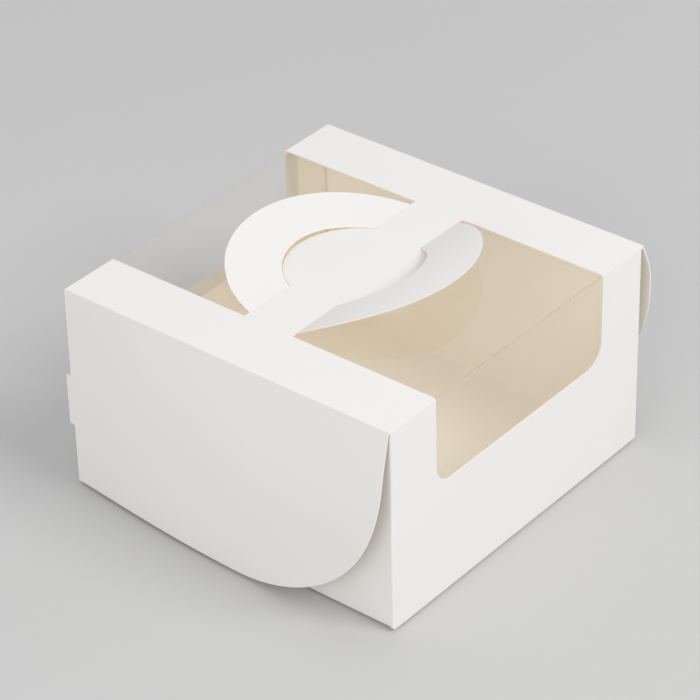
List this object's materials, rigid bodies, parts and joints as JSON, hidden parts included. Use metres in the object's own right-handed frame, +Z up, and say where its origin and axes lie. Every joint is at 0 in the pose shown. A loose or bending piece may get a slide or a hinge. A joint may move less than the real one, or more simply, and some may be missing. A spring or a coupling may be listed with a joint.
{
  "type": "cake box",
  "caption": "Square white board cake box with a film window over front, top and back, a lift-up round handle and hanging side flaps.",
  "frame": {"origin": "centre of the flat underside of the box", "axes": "+X towards the right side flap, +Y towards the back panel (the front panel has the lower window sill), +Z up"},
  "size_m": [0.1523, 0.1419, 0.0911],
  "materials": {
    "white_board": "smooth coated white board with a cream reverse, satin",
    "clear_film": "clear window film, glossy"
  },
  "bodies": {
    "box": {"carton": "white_board", "window_film": "clear_film"},
    "left_side_flap": {"left_side_flap": "white_board"},
    "right_side_flap": {"right_side_flap": "white_board"},
    "back_handle_flap": {"back_handle_flap": "white_board"},
    "front_handle_flap": {"front_handle_flap": "white_board"}
  },
  "joints": [
    {"name": "left_side_fold", "type": "hinge", "parent": "box", "child": "left_side_flap", "pos_m": [-0.06975, 0, 0.07975], "axis": [0, 1, 0], "range_deg": [0, 150]},
    {"name": "right_side_fold", "type": "hinge", "parent": "box", "child": "right_side_flap", "pos_m": [0.06975, 0, 0.07975], "axis": [0, -1, 0], "range_deg": [0, 150]},
    {"name": "back_handle_fold", "type": "hinge", "parent": "box", "child": "back_handle_flap", "pos_m": [0, 0.0102, 0.07975], "axis": [1, 0, 0], "range_deg": [-6, 94]},
    {"name": "front_handle_fold", "type": "hinge", "parent": "box", "child": "front_handle_flap", "pos_m": [0, -0.0102, 0.07975], "axis": [-1, 0, 0], "range_deg": [-18, 85]}
  ]
}
